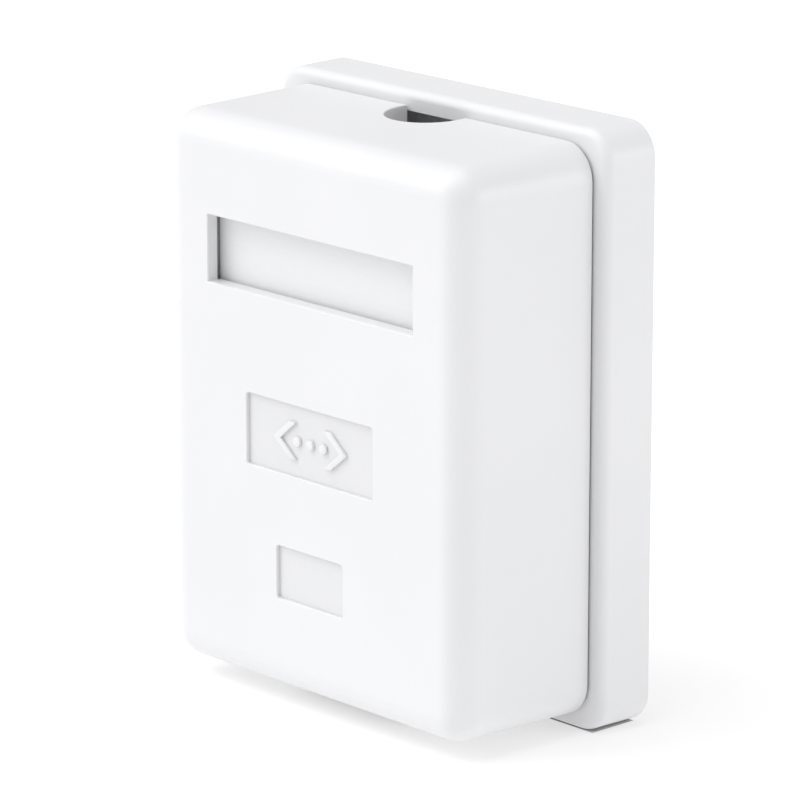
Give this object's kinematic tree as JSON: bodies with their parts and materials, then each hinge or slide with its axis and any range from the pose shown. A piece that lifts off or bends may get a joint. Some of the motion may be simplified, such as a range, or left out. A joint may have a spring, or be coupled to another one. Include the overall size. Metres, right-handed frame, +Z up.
{
  "type": "surface mount jack box",
  "caption": "Wall-mounted plastic box with a clip-fit front cover, a label window and one downward-facing modular network jack, wired at terminal blocks inside.",
  "frame": {"origin": "centre of the flat back face, on the wall plane", "axes": "X across the box, +Z up along its height, front cover faces -Y, back face looks along +Y into the wall"},
  "size_m": [0.0536, 0.0263, 0.068],
  "materials": {
    "white_shell": "satin moulded ABS",
    "label_strip": "matt white",
    "circuit_board": "solder mask over glass laminate",
    "zinc_screw": "bright zinc plate",
    "black_insert": "black moulded",
    "block_plastic": "dark moulded",
    "cap_plastic": "dark moulded",
    "gold_contact": "gold flash over spring bronze",
    "tinned_terminal": "tinned bronze"
  },
  "bodies": {
    "housing": {"base": "white_shell", "circuit_board": "circuit_board", "board_screws": "zinc_screw", "jack_housing": "black_insert", "contact_carrier": "black_insert", "left_idc_block": "block_plastic", "right_idc_block": "block_plastic", "jack_contact_1": "gold_contact", "jack_contact_2": "gold_contact", "jack_contact_3": "gold_contact", "jack_contact_4": "gold_contact", "jack_contact_5": "gold_contact", "jack_contact_6": "gold_contact", "jack_contact_7": "gold_contact", "jack_contact_8": "gold_contact", "left_terminal_1": "tinned_terminal", "left_terminal_2": "tinned_terminal", "left_terminal_3": "tinned_terminal", "left_terminal_4": "tinned_terminal", "right_terminal_1": "tinned_terminal", "right_terminal_2": "tinned_terminal", "right_terminal_3": "tinned_terminal", "right_terminal_4": "tinned_terminal"},
    "front": {"cover": "white_shell", "label_strip": "label_strip"},
    "left_cap": {"left_wire_cap": "cap_plastic"},
    "right_cap": {"right_wire_cap": "cap_plastic"}
  },
  "joints": [
    {"name": "cover_lift", "type": "slide", "parent": "housing", "child": "front", "axis": [0, -1, 0], "range_m": [0, 0.03]},
    {"name": "left_cap_lift", "type": "slide", "parent": "housing", "child": "left_cap", "axis": [0, -1, 0], "range_m": [0, 0.0052]},
    {"name": "right_cap_lift", "type": "slide", "parent": "housing", "child": "right_cap", "axis": [0, -1, 0], "range_m": [0, 0.0052]}
  ]
}
